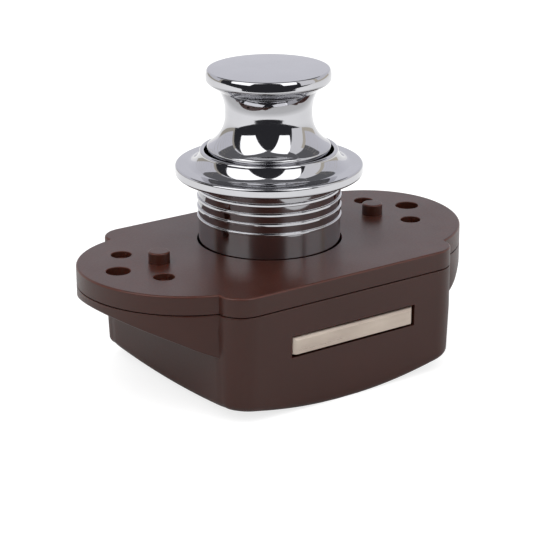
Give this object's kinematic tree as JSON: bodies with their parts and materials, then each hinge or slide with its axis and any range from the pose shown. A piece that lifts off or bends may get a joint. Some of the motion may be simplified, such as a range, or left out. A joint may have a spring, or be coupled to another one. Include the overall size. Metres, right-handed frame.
{
  "type": "pushbutton cabinet latch",
  "caption": "Push-to-lock cabinet latch: chromed pull button in a flanged door sleeve, a brown plastic case with two screw ears, and a flat bolt that slides out of its side.",
  "frame": {"origin": "on the button axis, in the cover face that lies against the door", "axes": "+Z along the button towards the user, +X along the case's long side, the bolt leaves towards -Y"},
  "size_m": [0.0746, 0.0442, 0.0534],
  "materials": {
    "case_plastic": "moulded, dark brown, half gloss",
    "chrome": "bright chrome plate",
    "bolt_nickel": "nickel plate, brushed and lightly scratched",
    "acetal": "moulded, natural",
    "spring_steel": "drawn wire and strip",
    "plated_steel": "zinc plate"
  },
  "bodies": {
    "case": {"case": "case_plastic", "cover": "case_plastic", "sleeve": "chrome", "sleeve_clip": "spring_steel", "return_spring": "spring_steel", "follower_spring": "spring_steel"},
    "button": {"button": "chrome", "button_screw": "plated_steel", "screw_washer": "plated_steel", "plunger": "acetal"},
    "slider": {"bolt_carrier": "acetal", "bolt": "bolt_nickel", "bolt_rivet_left": "plated_steel", "bolt_rivet_right": "plated_steel", "drive_pin_left": "plated_steel", "drive_pin_right": "plated_steel"},
    "follower": {"follower": "spring_steel"}
  },
  "joints": [
    {"name": "button_slide", "type": "slide", "parent": "case", "child": "button", "axis": [0, 0, -1], "range_m": [0, 0.013], "stiffness_N_per_m": 230, "springref_m": -0.009, "deforming": ["return_spring"]},
    {"name": "bolt_slide", "type": "slide", "parent": "case", "child": "slider", "axis": [0, -1, 0], "range_m": [0, 0.008]},
    {"name": "follower_swing", "type": "hinge", "parent": "case", "child": "follower", "pos_m": [0, 0.0156, -0.0175], "axis": [0, -1, 0], "range_deg": [0, 13.3]}
  ],
  "couplings": [
    {"joint": "bolt_slide", "follows": "button_slide", "ratio": 0.61538},
    {"joint": "follower_swing", "follows": "button_slide", "rad_per_m": 17.85}
  ]
}
